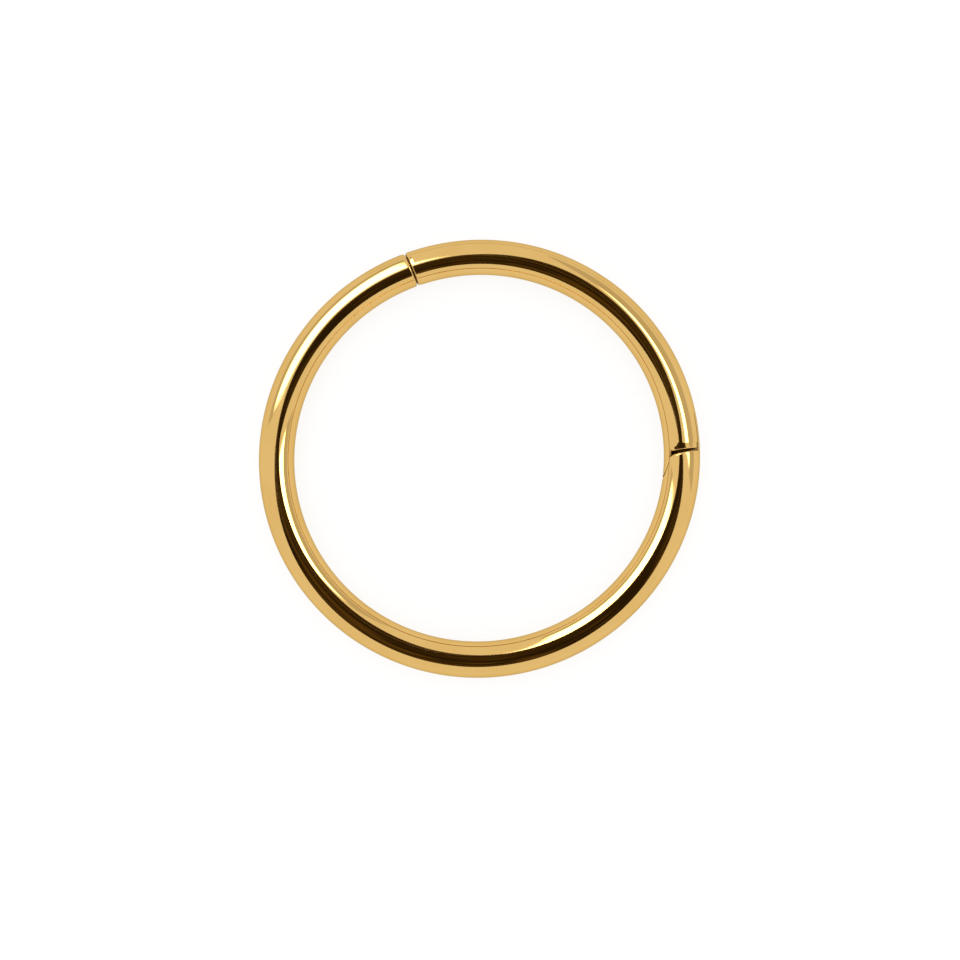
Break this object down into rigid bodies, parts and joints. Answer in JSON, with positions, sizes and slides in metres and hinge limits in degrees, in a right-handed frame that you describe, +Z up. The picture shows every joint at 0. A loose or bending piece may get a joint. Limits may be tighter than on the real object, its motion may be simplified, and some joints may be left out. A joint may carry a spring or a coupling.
{
  "type": "hinged segment hoop earring",
  "caption": "Round-wire hoop with a segment that swings outwards on a hidden hinge pin and shuts on a hidden catch, so that the closed hoop looks like an unbroken ring.",
  "frame": {"origin": "centre of the hoop, on the surface that it lies on", "axes": "+Z up through the hoop's hole, +X through the hinge seam, segment from +X anticlockwise past +Y"},
  "size_m": [0.0148, 0.0148, 0.0012],
  "materials": {
    "polished_gold": "mirror-polished gold-coloured metal",
    "pin_steel": "plain drawn wire, hidden"
  },
  "bodies": {
    "hoop": {"hoop_body": "polished_gold"},
    "segment": {"hinged_segment": "polished_gold", "hinge_pin": "pin_steel"}
  },
  "joints": [
    {"name": "segment_hinge", "type": "hinge", "parent": "hoop", "child": "segment", "pos_m": [0.00704, 0.00089, 0.0006], "axis": [0, 0, -1], "range_deg": [0, 100]}
  ]
}
